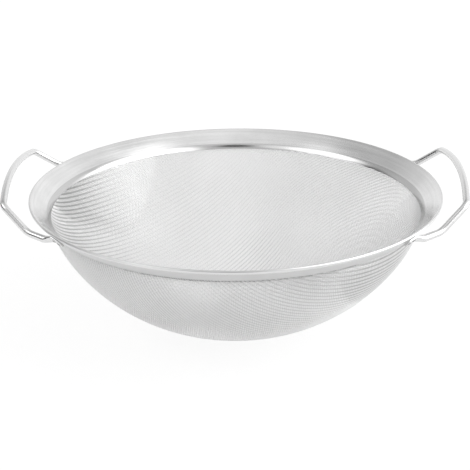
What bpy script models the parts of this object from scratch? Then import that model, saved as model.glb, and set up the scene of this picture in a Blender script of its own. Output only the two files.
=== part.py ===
"""Two-handled rice strainer of stainless steel, 300 mm across the rim.

A pressed bowl of fine woven wire cloth hangs in a conical rim. The cloth's edge is held
between the rim flange, which ends in a narrow band over the cloth, and a backing ring whose
outer edge is rolled into the flange's hem. Two handles of bent round wire end in flattened
tabs that are spot welded under the backing ring. Nothing on the strainer moves.

The cloth is drawn as a plain lattice with far fewer openings than the weave, but with the
weave's direction and about its share of open area.

Units are metres and radians. +Z is up, and the handles lie along X. The origin is the middle
of the small flat that is pressed into the bottom of the bowl, on which the strainer stands.
"""

from bisect import bisect_right
from math import acos, atan2, ceil, cos, pi, radians, sin, tan

import bpy
from mathutils import Matrix, Vector
from mathutils.geometry import delaunay_2d_cdt

# Where two pieces touch on the real strainer, this is left open between them.
SEAM_GAP = 0.0003

# Heights are given below as drops under the top of the rim, which lies this high.
RIM_HEIGHT = 0.102

# Rim flange: a rolled hem, a cone that slopes inwards, and a steeper band over the cloth.
RIM_RADIUS = 0.150
FLANGE_THICKNESS = 0.0005
FLANGE_SLOPE = radians(41)
FLANGE_REACH_INWARDS = 0.0122
BAND_SLOPE = radians(51)
BAND_WIDTH = 0.0049
HEM_RETURN = 0.0022

# Backing ring: a cone of thinner sheet from inside the hem to under the cloth's edge.
RING_THICKNESS = 0.0004
RING_INSET_IN_HEM = 0.0006

# Bowl of wire cloth, with the cloth's own thickness and the width that the rim clamps.
CLOTH_THICKNESS = 0.0006
CLOTH_CLAMPED_WIDTH = 0.0031
BOWL_SIDE_FULLNESS = 2.04
BOWL_BASE_FULLNESS = 1.46
BASE_FLAT_RADIUS = 0.012

# Lattice that stands for the weave: openings across the bowl's middle, the width of the bars
# between them, the turn of the bars about Z, and the plain border below the rim's band.
OPENINGS_ACROSS = 12
BAR_WIDTH = 0.0060
BAR_TURN = radians(47.2)
PLAIN_BORDER = 0.0050
# Openings that the border would leave narrower than this are left closed.
LEAST_OPENING = 0.0060

# Handle wire, flattened at its ends into tabs that lie under the backing ring.
WIRE_RADIUS = 0.0025
TAB_WIDTH = 0.0080
TAB_THICKNESS = 0.0020
TAB_LENGTH = 0.0075
TAB_MARGIN_TO_HEM = 0.0020
TAB_AZIMUTH = radians(37)
FLATTENING_LENGTH = 0.0065
HEM_CLEARANCE = 0.0012

# Handle shape: a bowed grip between two top corners, and a low bend in each leg.
GRIP_LENGTH = 0.1202
GRIP_BEYOND_RIM = 0.0082
GRIP_ABOVE_RIM = 0.0094
GRIP_BOW_OUTWARDS = 0.0079
GRIP_BOW_UPWARDS = 0.0118
LEG_SPREAD = 0.0111
LOW_BEND_INSIDE_RIM = 0.0098
LOW_BEND_DROP = 0.0060
HEM_BEND_RADIUS = 0.006
LOW_BEND_RADIUS = 0.014
TOP_CORNER_RADIUS = 0.009

# Power of the flattened tab's outline: 1 would be an ellipse, and less is squarer.
TAB_OUTLINE_POWER = 0.5
# The grip's bow ends just short of the top corners, so that the two arcs don't meet in a point.
GRIP_BOW_SHARE = 0.999

# Facets: steps around the rim and bowl, profile points down the bowl, and sides of the wire.
TURNED_STEPS = 80
BOWL_STEPS = 64
BASE_FLAT_STEPS = 24
LONGEST_BAR_STEP = 0.0080
HEM_STEPS = 6
WIRE_SIDES = 12
HEM_BEND_STEPS = 2
BEND_STEPS = 6
GRIP_STEPS = 10
SMOOTH_ANGLE = radians(35)
# Points of a turned outline or of the lattice closer than this are one.
MERGE_DISTANCE = 0.00001
# The wire's path has no points closer than this.
LEAST_PATH_STEP = 0.0004

# The hem is rolled round the backing ring's edge, with a seam gap on either side of it.
HEM_MID_RADIUS = RING_THICKNESS / 2 + SEAM_GAP + FLANGE_THICKNESS / 2
HEM_OUTER_RADIUS = HEM_MID_RADIUS + FLANGE_THICKNESS / 2
HEM_CENTRE = Vector((RIM_RADIUS - HEM_OUTER_RADIUS, RIM_HEIGHT - HEM_OUTER_RADIUS))


def make_material(name, colour, roughness):
    """Returns a metal with a linear RGB colour and a roughness."""
    material = bpy.data.materials.new(name)
    material.use_nodes = True
    shader = material.node_tree.nodes["Principled BSDF"]
    shader.inputs["Base Color"].default_value = (*colour, 1.0)
    shader.inputs["Metallic"].default_value = 1.0
    shader.inputs["Roughness"].default_value = roughness
    return material


def slope_directions(slope):
    """Directions in the section plane: inwards down a cone of this slope, and out of its underside."""
    down = Vector((-cos(slope), -sin(slope)))
    return down, under_side(down)


def under_side(down):
    """Direction out of the underside of a cone, from the direction inwards down its slope."""
    return Vector((-down.y, down.x))


def offset_line(points, distance):
    """Moves an open line of 2D points to its left by a distance, with mitred corners."""
    moved = []
    for index, point in enumerate(points):
        before = points[max(index - 1, 0)]
        after = points[min(index + 1, len(points) - 1)]
        first = (point - before) if index > 0 else (after - point)
        second = (after - point) if index < len(points) - 1 else (point - before)
        normals = [Vector((-way.y, way.x)).normalized() for way in (first, second)]
        mitre = (normals[0] + normals[1]).normalized()
        moved.append(point + mitre * (distance / mitre.dot(normals[0])))
    return moved


def sheet_section(middle, thickness):
    """Closed outline of a sheet, from the middle line of its section."""
    left = offset_line(middle, thickness / 2)
    right = offset_line(middle, -thickness / 2)
    return left + right[::-1]


def turned(name, outline, material):
    """Turns a closed outline in the XZ plane about the Z axis into one solid.

    Args:
        name: Name of the object.
        outline: 2D points (radius, height) in order.
        material: Material of the object.
    """
    area = sum(a.x * b.y - b.x * a.y for a, b in zip(outline, outline[1:] + outline[:1]))
    # Down the outer side and up the inner one: the faces then point outwards.
    ordered = outline if area < 0 else outline[::-1]
    count = len(ordered)
    edges = [(i, (i + 1) % count) for i in range(count)]
    mesh = bpy.data.meshes.new(name)
    mesh.from_pydata([(point.x, 0.0, point.y) for point in ordered], edges, [])
    piece = bpy.data.objects.new(name, mesh)
    bpy.context.collection.objects.link(piece)
    screw = piece.modifiers.new("Turn", "SCREW")
    screw.steps = screw.render_steps = TURNED_STEPS
    screw.use_merge_vertices = True
    screw.merge_threshold = MERGE_DISTANCE
    screw.use_smooth_shade = True
    mesh.materials.append(material)
    return piece


def solid_from(name, vertices, faces, material):
    """Makes a closed solid from its vertices and its outward faces."""
    mesh = bpy.data.meshes.new(name)
    mesh.from_pydata(vertices, [], faces)
    mesh.shade_smooth()
    mesh.set_sharp_from_angle(angle=SMOOTH_ANGLE)
    mesh.materials.append(material)
    piece = bpy.data.objects.new(name, mesh)
    bpy.context.collection.objects.link(piece)
    return piece


def flange_corner():
    """Point on the flange's upper face where the cone meets the steeper band."""
    down, under = slope_directions(FLANGE_SLOPE)
    start = HEM_CENTRE - under * HEM_OUTER_RADIUS
    reach = FLANGE_REACH_INWARDS - (RIM_RADIUS - start.x)
    return start + down * (reach / cos(FLANGE_SLOPE))


def flange_edge():
    """Point on the flange's upper face at the lower edge of its band, where the cloth comes out."""
    return flange_corner() + slope_directions(BAND_SLOPE)[0] * BAND_WIDTH


def make_rim_flange(material):
    """Cone of sheet steel with its rolled hem and the band that covers the cloth's edge."""
    down, under = slope_directions(FLANGE_SLOPE)
    half = FLANGE_THICKNESS / 2
    upper = offset_line([HEM_CENTRE - under * HEM_OUTER_RADIUS, flange_corner(), flange_edge()], half)
    hem = []
    for step in range(1, HEM_STEPS + 1):
        turn = pi * step / HEM_STEPS
        hem.append(HEM_CENTRE - under * HEM_MID_RADIUS * cos(turn) - down * HEM_MID_RADIUS * sin(turn))
    hem.append(hem[-1] + down * HEM_RETURN)
    return turned("rim_flange", sheet_section(upper[::-1] + hem, FLANGE_THICKNESS), material)


def ring_line():
    """Outer and inner end of the backing ring's middle line, which just clears the cloth's edge."""
    down, under = slope_directions(FLANGE_SLOPE)
    start = HEM_CENTRE + down * RING_INSET_IN_HEM
    clear = FLANGE_THICKNESS + SEAM_GAP + CLOTH_THICKNESS + SEAM_GAP + RING_THICKNESS / 2
    at_cloth_edge = flange_corner() + under * clear - down * CLOTH_CLAMPED_WIDTH
    ring_down = (at_cloth_edge - start).normalized()
    return start, at_cloth_edge + ring_down * CLOTH_CLAMPED_WIDTH


def make_backing_ring(material):
    """Cone of thin sheet under the flange, with its outer edge held in the hem."""
    return turned("backing_ring", sheet_section(list(ring_line()), RING_THICKNESS), material)


def bowl_height(share, depth):
    """Height above the bowl's lowest level, at a share of the way out from the flat to the wall."""
    return depth * (1 - (1 - share**BOWL_SIDE_FULLNESS) ** (1 / BOWL_BASE_FULLNESS))


def bowl_line():
    """Middle line of the cloth, from the bowl's middle to the edge that the rim clamps."""
    clear = FLANGE_THICKNESS + SEAM_GAP + CLOTH_THICKNESS / 2
    band_under = slope_directions(BAND_SLOPE)[1]
    cone_down, cone_under = slope_directions(FLANGE_SLOPE)
    wall_top = flange_edge() + band_under * clear
    corner = flange_corner()
    bend = corner + (band_under + cone_under).normalized() * clear
    edge = corner + cone_under * clear - cone_down * CLOTH_CLAMPED_WIDTH
    depth = wall_top.y - CLOTH_THICKNESS / 2
    middle = [Vector((0.0, CLOTH_THICKNESS / 2)), Vector((BASE_FLAT_RADIUS, CLOTH_THICKNESS / 2))]
    for step in range(1, BOWL_STEPS + 1):
        # Equal turns of an angle set the points closer together towards the upright wall.
        share = sin(pi / 2 * step / BOWL_STEPS)
        radius = BASE_FLAT_RADIUS + (wall_top.x - BASE_FLAT_RADIUS) * share
        middle.append(Vector((radius, CLOTH_THICKNESS / 2 + bowl_height(share, depth))))
    return middle + [bend, edge]


def line_travels(line):
    """Distance of each point of a line from its first point, along the line."""
    travels = [0.0]
    for before, after in zip(line, line[1:]):
        travels.append(travels[-1] + (after - before).length)
    return travels


def flat_ring(radius, steps):
    """Points of a ring about the origin in the flat cloth."""
    return [Vector((cos(2 * pi * i / steps), sin(2 * pi * i / steps))) * radius for i in range(steps)]


def clipped(outline, point, way):
    """Part of a convex outline that lies beyond a line.

    Args:
        outline: 2D corners in order.
        point: Point on the line.
        way: Direction across the line, towards the part that is kept.
    """
    kept = []
    for before, corner in zip(outline[-1:] + outline[:-1], outline):
        depth_before, depth = (before - point).dot(way), (corner - point).dot(way)
        if (depth_before < 0) != (depth < 0):
            kept.append(before.lerp(corner, depth_before / (depth_before - depth)))
        if depth >= 0:
            kept.append(corner)
    return kept


def lattice_openings(reach):
    """Openings in the flat cloth, as convex outlines with their corners in order.

    Args:
        reach: Radius of the part of the flat cloth that holds them.
    """
    pitch = 2 * reach / OPENINGS_ACROSS
    half = (pitch - BAR_WIDTH) / 2
    turn = Matrix.Rotation(BAR_TURN, 2)
    openings = []
    for row in range(OPENINGS_ACROSS):
        for column in range(OPENINGS_ACROSS):
            middle = Vector((column, row)) * pitch + Vector((pitch / 2 - reach, pitch / 2 - reach))
            corners = [middle + Vector(way) * half for way in ((-1, -1), (1, -1), (1, 1), (-1, 1))]
            outwards = middle.normalized()
            corners = clipped(corners, outwards * (BASE_FLAT_RADIUS + BAR_WIDTH / 2), outwards)
            for ring_point in flat_ring(reach - BAR_WIDTH / 2, TURNED_STEPS):
                corners = clipped(corners, ring_point, -ring_point)
            spans = [max(c[axis] for c in corners) - min(c[axis] for c in corners)
                     for axis in (0, 1) if corners]
            if spans and min(spans) > LEAST_OPENING:
                openings.append([turn @ corner for corner in corners])
    return openings


def stepped(outline):
    """Closed outline with its long sides divided, so that it can follow the bowl's curve."""
    points = []
    for corner, after in zip(outline, outline[1:] + outline[:1]):
        count = max(1, ceil((after - corner).length / LONGEST_BAR_STEP))
        points += [corner.lerp(after, step / count) for step in range(count)]
    return points


def inside(point, outline):
    """Whether a point lies inside a convex outline whose corners run anticlockwise."""
    for corner, after in zip(outline, outline[1:] + outline[:1]):
        if (after - corner).cross(point - corner) < 0:
            return False
    return True


def flat_lattice(reach, border_radii):
    """Points and faces of the flat cloth: the lattice inside, and rings of the plain border.

    Args:
        reach: Radius of the lattice, which is also the border's first ring.
        border_radii: Radii of the border's other rings.
    """
    openings = lattice_openings(reach)
    points, edges = [], []
    outlines = [flat_ring(reach, TURNED_STEPS), flat_ring(BASE_FLAT_RADIUS, BASE_FLAT_STEPS)]
    for outline in outlines + [stepped(opening) for opening in openings]:
        first = len(points)
        points += outline
        edges += [(first + i, first + (i + 1) % len(outline)) for i in range(len(outline))]
    points, _, triangles, _, _, _ = delaunay_2d_cdt(points, edges, [], 0, MERGE_DISTANCE)
    faces = []
    for face in triangles:
        middle = sum((points[i] for i in face), Vector((0.0, 0.0))) / len(face)
        if not any(inside(middle, opening) for opening in openings):
            faces.append(tuple(face))
    # The border's first ring is the lattice's outer ring, whose points are looked up by place.
    ring = []
    for place in flat_ring(reach, TURNED_STEPS):
        ring.append(min(range(len(points)), key=lambda i: (points[i] - place).length_squared))
    for radius in border_radii:
        outer = list(range(len(points), len(points) + TURNED_STEPS))
        points += flat_ring(radius, TURNED_STEPS)
        for i in range(TURNED_STEPS):
            after = (i + 1) % TURNED_STEPS
            faces.append((ring[i], outer[i], outer[after], ring[after]))
        ring = outer
    return points, faces


def pressed(point, line, travels):
    """Place in the bowl of a point of the flat cloth, which keeps its distance along the line.

    Args:
        point: 2D point of the flat cloth.
        line: 2D points (radius, height) of a face of the bowl, from its middle outwards.
        travels: Distance of each of those points from the bowl's middle in the flat cloth.
    """
    travel = min(point.length, travels[-1])
    index = min(bisect_right(travels, travel), len(travels) - 1)
    share = (travel - travels[index - 1]) / (travels[index] - travels[index - 1])
    place = line[index - 1].lerp(line[index], share)
    outwards = point.normalized() * place.x
    return outwards.x, outwards.y, place.y


def make_mesh_bowl(material):
    """Pressed bowl of wire cloth, drawn as a lattice, with its edge clamped under the flange."""
    middle = bowl_line()
    travels = line_travels(middle)
    wall_top, bend, edge = travels[-3:]
    flat_points, flat_faces = flat_lattice(wall_top - PLAIN_BORDER, (wall_top, bend, edge))
    upper_line = offset_line(middle, CLOTH_THICKNESS / 2)
    lower_line = offset_line(middle, -CLOTH_THICKNESS / 2)
    vertices = [pressed(point, upper_line, travels) for point in flat_points]
    vertices += [pressed(point, lower_line, travels) for point in flat_points]
    lower = len(flat_points)
    faces, borders = [], {}
    for face in flat_faces:
        corners = [flat_points[i] for i in face]
        turn = (corners[1] - corners[0]).cross(corners[2] - corners[1])
        upper_face = face if turn > 0 else face[::-1]
        faces += [upper_face, tuple(lower + i for i in upper_face[::-1])]
        # An edge of one face only is a border of the cloth, where a side face closes it.
        for before, after in zip(upper_face, upper_face[1:] + upper_face[:1]):
            if (after, before) in borders:
                del borders[after, before]
            else:
                borders[before, after] = (before, lower + before, lower + after, after)
    return solid_from("mesh_bowl", vertices, faces + list(borders.values()), material)


def rounded_path(corners, radii, steps):
    """Line of points through corners, each rounded by an arc.

    Args:
        corners: 3D corners, ends included.
        radii: Arc radius at each inner corner.
        steps: Number of steps along each of those arcs.
    """
    path = [corners[0]]
    for index in range(1, len(corners) - 1):
        back = (corners[index - 1] - corners[index]).normalized()
        ahead = (corners[index + 1] - corners[index]).normalized()
        inner = acos(max(-1.0, min(1.0, back.dot(ahead))))
        radius = radii[index - 1]
        centre = corners[index] + (back + ahead).normalized() * (radius / sin(inner / 2))
        first = corners[index] + back * (radius / tan(inner / 2)) - centre
        side = (ahead - first.normalized() * ahead.dot(first.normalized())).normalized() * radius
        count = steps[index - 1]
        for step in range(count + 1):
            turn = (pi - inner) * step / count
            path.append(centre + first * cos(turn) + side * sin(turn))
    path.append(corners[-1])
    return path


def tab_place(side_x, side_y):
    """Middle of the tab's end, the ring's outward normal there, and the way along the tab.

    Args:
        side_x: 1 for the right handle, -1 for the left one.
        side_y: 1 for the rear leg, -1 for the front one.
    """
    ring_start, ring_end = ring_line()
    down = (ring_end - ring_start).normalized()
    under = under_side(down)
    reach = HEM_RETURN - RING_INSET_IN_HEM + TAB_MARGIN_TO_HEM + TAB_WIDTH / 2
    seat = ring_start + down * reach + under * (RING_THICKNESS / 2 + SEAM_GAP + TAB_THICKNESS / 2)
    outwards = Vector((side_x * cos(TAB_AZIMUTH), side_y * sin(TAB_AZIMUTH), 0.0))
    point = outwards * seat.x + Vector((0.0, 0.0, seat.y))
    normal = outwards * under.x + Vector((0.0, 0.0, under.y))
    along = low_bend(side_x, side_y) - point
    along = (along - normal * along.dot(normal)).normalized()
    return point, normal, along


def top_corner(side_x, side_y):
    """Corner between a leg and the grip, outside the rim and above it."""
    outwards = RIM_RADIUS + GRIP_BEYOND_RIM
    return Vector((side_x * outwards, side_y * GRIP_LENGTH / 2, RIM_HEIGHT + GRIP_ABOVE_RIM))


def low_bend(side_x, side_y):
    """Bend between the part of a leg that rises and the part that runs in under the rim."""
    outwards = RIM_RADIUS - LOW_BEND_INSIDE_RIM
    sideways = GRIP_LENGTH / 2 + LEG_SPREAD
    return Vector((side_x * outwards, side_y * sideways, RIM_HEIGHT - LOW_BEND_DROP))


def grip_peak(side_x):
    """Point where the lines along the two ends of the bowed grip would meet."""
    ends = top_corner(side_x, 1)
    return Vector((ends.x + side_x * GRIP_BOW_OUTWARDS, 0.0, ends.z + GRIP_BOW_UPWARDS))


def leg_corners(side_x, side_y):
    """Corners of one leg, from the end of its tab to the top corner, and the tab's normal."""
    point, normal, along = tab_place(side_x, side_y)
    tab_root = point + along * TAB_LENGTH
    # The wire passes the hem with its full thickness, so it steps away from the ring.
    step_out = HEM_OUTER_RADIUS + HEM_CLEARANCE + WIRE_RADIUS - RING_THICKNESS / 2 - TAB_THICKNESS / 2
    hem_pass = tab_root + along * FLATTENING_LENGTH + normal * step_out
    return [point, tab_root, hem_pass, low_bend(side_x, side_y), top_corner(side_x, side_y)], normal


def wire_section(travel, total):
    """Half width, half thickness and outline power of the handle wire at a distance along it."""
    from_end = min(travel, total - travel)
    share = min(1.0, max(0.0, (from_end - TAB_LENGTH) / FLATTENING_LENGTH))
    eased = share * share * (3 - 2 * share)
    width = TAB_WIDTH / 2 + (WIRE_RADIUS - TAB_WIDTH / 2) * eased
    thickness = TAB_THICKNESS / 2 + (WIRE_RADIUS - TAB_THICKNESS / 2) * eased
    return width, thickness, TAB_OUTLINE_POWER + (1 - TAB_OUTLINE_POWER) * eased


def make_handle(name, side_x, material):
    """Bent wire handle with a flattened tab at each end."""
    front, normal = leg_corners(side_x, -1)
    rear, rear_normal = leg_corners(side_x, 1)
    corners = front + [grip_peak(side_x)] + rear[::-1]
    peak_turn = (corners[5] - corners[4]).angle(corners[6] - corners[5])
    grip_line = (corners[5] - corners[4]).length
    corner_turn = (corners[4] - corners[3]).angle(corners[5] - corners[4])
    bow_line = GRIP_BOW_SHARE * (grip_line - TOP_CORNER_RADIUS * tan(corner_turn / 2))
    grip_radius = bow_line / tan(peak_turn / 2)
    bends = [HEM_BEND_RADIUS, HEM_BEND_RADIUS, LOW_BEND_RADIUS, TOP_CORNER_RADIUS]
    counts = [HEM_BEND_STEPS, HEM_BEND_STEPS, BEND_STEPS, BEND_STEPS]
    path = rounded_path(corners, bends + [grip_radius] + bends[::-1], counts + [GRIP_STEPS] + counts[::-1])
    return solid_from(name, *swept_wire(path, normal, rear_normal), material)


def swept_wire(path, normal, last_normal):
    """Vertices and faces of the handle's section swept along a path, with both ends closed."""
    spaced = [path[0]]
    for point in path[1:]:
        if (point - spaced[-1]).length > LEAST_PATH_STEP:
            spaced.append(point)
    path = spaced
    travels = line_travels(path)
    ways = []
    for index in range(len(path)):
        ahead = path[min(index + 1, len(path) - 1)] - path[index]
        back = path[index] - path[max(index - 1, 0)]
        ways.append((ahead.normalized() + back.normalized()).normalized())
    frames = [normal - ways[0] * normal.dot(ways[0])]
    for before, after in zip(ways, ways[1:]):
        frames.append(before.rotation_difference(after) @ frames[-1])
    # The carried frame is turned back evenly, so that the last tab lies flat on the ring too.
    goal = last_normal - ways[-1] * last_normal.dot(ways[-1])
    across = ways[-1].cross(frames[-1])
    miss = atan2(goal.dot(across), goal.dot(frames[-1]))
    vertices, faces = [], []
    for index, (point, way) in enumerate(zip(path, ways)):
        turn = miss * travels[index] / travels[-1]
        up = frames[index].normalized()
        up = (up * cos(turn) + way.cross(up) * sin(turn)).normalized()
        across = way.cross(up)
        width, thickness, power = wire_section(travels[index], travels[-1])
        for side in range(WIRE_SIDES):
            angle = 2 * pi * (side + 0.5) / WIRE_SIDES
            x, y = cos(angle), sin(angle)
            x = abs(x) ** power * (1 if x > 0 else -1)
            y = abs(y) ** power * (1 if y > 0 else -1)
            vertices.append(point + across * (x * width) + up * (y * thickness))
    for ring in range(len(path) - 1):
        for side in range(WIRE_SIDES):
            after = (side + 1) % WIRE_SIDES
            low, high = ring * WIRE_SIDES, (ring + 1) * WIRE_SIDES
            faces.append((low + side, high + side, high + after, low + after))
    faces.append(tuple(range(WIRE_SIDES)))
    faces.append(tuple(range((len(path) - 1) * WIRE_SIDES, len(path) * WIRE_SIDES))[::-1])
    return vertices, faces


def main():
    """Clears the scene and builds the strainer."""
    for leftover in list(bpy.data.objects):
        bpy.data.objects.remove(leftover, do_unlink=True)
    polished = make_material("polished_steel", (0.72, 0.72, 0.72), 0.15)
    satin = make_material("satin_steel", (0.66, 0.66, 0.66), 0.30)
    wire = make_material("bright_wire", (0.75, 0.75, 0.75), 0.18)
    cloth = make_material("wire_cloth", (0.70, 0.70, 0.70), 0.35)
    make_rim_flange(polished)
    make_backing_ring(satin)
    make_mesh_bowl(cloth)
    make_handle("left_handle", -1, wire)
    make_handle("right_handle", 1, wire)


main()
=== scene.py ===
"""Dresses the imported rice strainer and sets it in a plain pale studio.

The strainer is a deep bowl of woven wire cloth, held in a rim of polished sheet steel that is
rolled round a thinner backing ring, with a bent wire handle on either side. Every piece here
stands for one CAD node, or a part of one, and lies where that node lies. Metres and radians.
"""

import logging
import math
from dataclasses import dataclass, field
from enum import Enum

import bpy
import numpy as np
from mathutils import Matrix, Vector


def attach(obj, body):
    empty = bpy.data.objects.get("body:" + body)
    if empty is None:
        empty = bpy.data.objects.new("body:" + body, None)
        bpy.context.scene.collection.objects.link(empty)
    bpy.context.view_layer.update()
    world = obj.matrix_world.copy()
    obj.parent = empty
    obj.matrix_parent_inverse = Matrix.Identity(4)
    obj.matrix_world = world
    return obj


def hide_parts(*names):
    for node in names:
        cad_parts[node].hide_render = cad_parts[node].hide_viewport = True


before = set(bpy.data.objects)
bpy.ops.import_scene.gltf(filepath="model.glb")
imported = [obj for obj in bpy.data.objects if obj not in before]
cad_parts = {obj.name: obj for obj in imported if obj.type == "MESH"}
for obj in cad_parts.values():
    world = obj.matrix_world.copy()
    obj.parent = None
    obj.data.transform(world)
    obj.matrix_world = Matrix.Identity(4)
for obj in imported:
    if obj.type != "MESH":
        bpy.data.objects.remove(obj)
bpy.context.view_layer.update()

Piece = bpy.types.Object
log = logging.getLogger("strainer")

MM = 0.001
MERGE_DISTANCE = 0.002 * MM
SMOOTH_ANGLE = math.radians(40)
BEVEL_ANGLE = math.radians(60)
PAINTED_SHADE = "dull"


# Modelling steps that several pieces share


def nothing_selected() -> None:
    """Leaves edit mode and deselects every object."""
    if bpy.context.object and bpy.context.object.mode != "OBJECT":
        bpy.ops.object.mode_set(mode="OBJECT")
    bpy.ops.object.select_all(action="DESELECT")


def take_up(piece: Piece) -> None:
    """Makes a piece the only selected one, and the active one."""
    nothing_selected()
    piece.select_set(True)
    bpy.context.view_layer.objects.active = piece


def edit_mode(action: str = "SELECT", kind: str = "VERT") -> None:
    """Enters edit mode and selects everything or nothing.

    Args:
        action: "SELECT" or "DESELECT".
        kind: What is selected from then on, "VERT" or "EDGE".
    """
    bpy.ops.object.mode_set(mode="EDIT")
    bpy.ops.mesh.select_mode(type=kind)
    bpy.ops.mesh.select_all(action=action)


def object_mode() -> None:
    """Leaves edit mode, so that the mesh can be read and changed in code."""
    bpy.ops.object.mode_set(mode="OBJECT")


def named(name: str) -> Piece:
    """Names the piece that was just added, and its mesh.

    Args:
        name: New name of the object and of its mesh.

    Returns:
        The piece.
    """
    piece = bpy.context.active_object
    piece.name = piece.data.name = name
    return piece


def places(piece: Piece) -> np.ndarray:
    """Reads the places of a mesh's points.

    Args:
        piece: A mesh object in object mode.

    Returns:
        One row of x, y and z for each point.
    """
    flat = np.empty(len(piece.data.vertices) * 3)
    piece.data.vertices.foreach_get("co", flat)
    return flat.reshape(-1, 3)


def put(piece: Piece, points: np.ndarray) -> None:
    """Moves the points of a mesh to new places, one row of x, y and z for each."""
    piece.data.vertices.foreach_set("co", points.ravel())
    piece.data.update()


def apply_modifiers(piece: Piece) -> None:
    """Applies all modifiers of a piece, in order."""
    take_up(piece)
    for modifier in list(piece.modifiers):
        bpy.ops.object.modifier_apply(modifier=modifier.name)


def bevelled(piece: Piece, width: float, segments: int) -> None:
    """Bevels the sharp edges of a piece.

    Args:
        piece: The piece.
        width: Width of the bevel.
        segments: Number of faces across it.
    """
    edges = piece.modifiers.new("Edges", "BEVEL")
    edges.width = width
    edges.segments = segments
    edges.limit_method = "ANGLE"
    edges.angle_limit = BEVEL_ANGLE
    apply_modifiers(piece)


def repeated(piece: Piece, count: int, step: tuple, merge: float = 0.0) -> None:
    """Repeats a piece's mesh in a straight row.

    Args:
        piece: The piece.
        count: Number of copies, the first one included.
        step: Way from each copy to the next.
        merge: Points of neighbours that lie this close become one. None do at zero.
    """
    row = piece.modifiers.new("Row", "ARRAY")
    row.count = count
    row.use_relative_offset = False
    row.use_constant_offset = True
    row.constant_offset_displace = step
    row.use_merge_vertices = merge > 0
    row.merge_threshold = merge
    apply_modifiers(piece)


def eased(share: float | np.ndarray) -> float | np.ndarray:
    """Turns an even rise from 0 to 1 into one that starts and ends softly."""
    return share * share * (3 - 2 * share)


def place_in_mesh(piece: Piece) -> None:
    """Puts a piece's place, turn and scale into its mesh, so that its object is at the origin."""
    take_up(piece)
    bpy.ops.object.transform_apply(location=True, rotation=True, scale=True)


def close_and_smooth(piece: Piece, angle: float = SMOOTH_ANGLE) -> None:
    """Merges doubled points, turns all faces outwards and shades the piece smooth.

    Args:
        piece: The piece.
        angle: Edges sharper than this stay sharp.
    """
    take_up(piece)
    edit_mode()
    bpy.ops.mesh.remove_doubles(threshold=MERGE_DISTANCE)
    bpy.ops.mesh.normals_make_consistent(inside=False)
    object_mode()
    bpy.ops.object.shade_smooth_by_angle(angle=angle)


def rounded(corners: list[Vector], radii: list[float], steps: list[int]) -> list[Vector]:
    """Draws a line through corners, with each inner corner rounded by an arc.

    Args:
        corners: The corners, ends included.
        radii: Arc radius at each inner corner.
        steps: Number of steps along each of those arcs.

    Returns:
        The points of the line.
    """
    path = [corners[0]]
    for index in range(1, len(corners) - 1):
        back = (corners[index - 1] - corners[index]).normalized()
        ahead = (corners[index + 1] - corners[index]).normalized()
        inner = math.acos(max(-1.0, min(1.0, back.dot(ahead))))
        radius = radii[index - 1]
        centre = corners[index] + (back + ahead).normalized() * (radius / math.sin(inner / 2))
        first = corners[index] + back * (radius / math.tan(inner / 2)) - centre
        way = first.normalized()
        side = (ahead - way * ahead.dot(way)).normalized() * radius
        for step in range(steps[index - 1] + 1):
            turn = (math.pi - inner) * step / steps[index - 1]
            path.append(centre + first * math.cos(turn) + side * math.sin(turn))
    path.append(corners[-1])
    return path


def drawn_line(name: str, points: list[Vector]) -> Piece:
    """Draws an open line of edges by pulling one corner from point to point.

    Args:
        name: Name of the piece.
        points: The line's points.

    Returns:
        The piece, in object mode.
    """
    nothing_selected()
    bpy.ops.mesh.primitive_plane_add(size=MM, location=points[0])
    piece = named(name)
    edit_mode()
    bpy.ops.mesh.merge(type="CENTER")
    for before, after in zip(points, points[1:]):
        bpy.ops.mesh.extrude_region_move(TRANSFORM_OT_translate={"value": after - before})
    object_mode()
    place_in_mesh(piece)
    return piece


def spun_sheet(name: str, section: list[Vector], thickness: float, steps: int) -> Piece:
    """Turns the middle line of a sheet's section about Z, and gives the sheet its thickness.

    Args:
        name: Name of the piece.
        section: Points of the middle line in the XZ plane.
        thickness: Thickness of the sheet.
        steps: Steps round the turn.

    Returns:
        The closed sheet.
    """
    piece = drawn_line(name, section)
    edit_mode()
    bpy.ops.mesh.spin(steps=steps, angle=2 * math.pi, center=(0, 0, 0), axis=(0, 0, 1))
    bpy.ops.mesh.select_all(action="SELECT")
    bpy.ops.mesh.remove_doubles(threshold=MERGE_DISTANCE)
    bpy.ops.mesh.normals_make_consistent(inside=False)
    object_mode()
    wall = piece.modifiers.new("Sheet", "SOLIDIFY")
    wall.thickness = thickness
    wall.offset = 0.0
    wall.use_even_offset = True
    apply_modifiers(piece)
    close_and_smooth(piece)
    return piece


# Sizes that the pieces share


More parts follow.
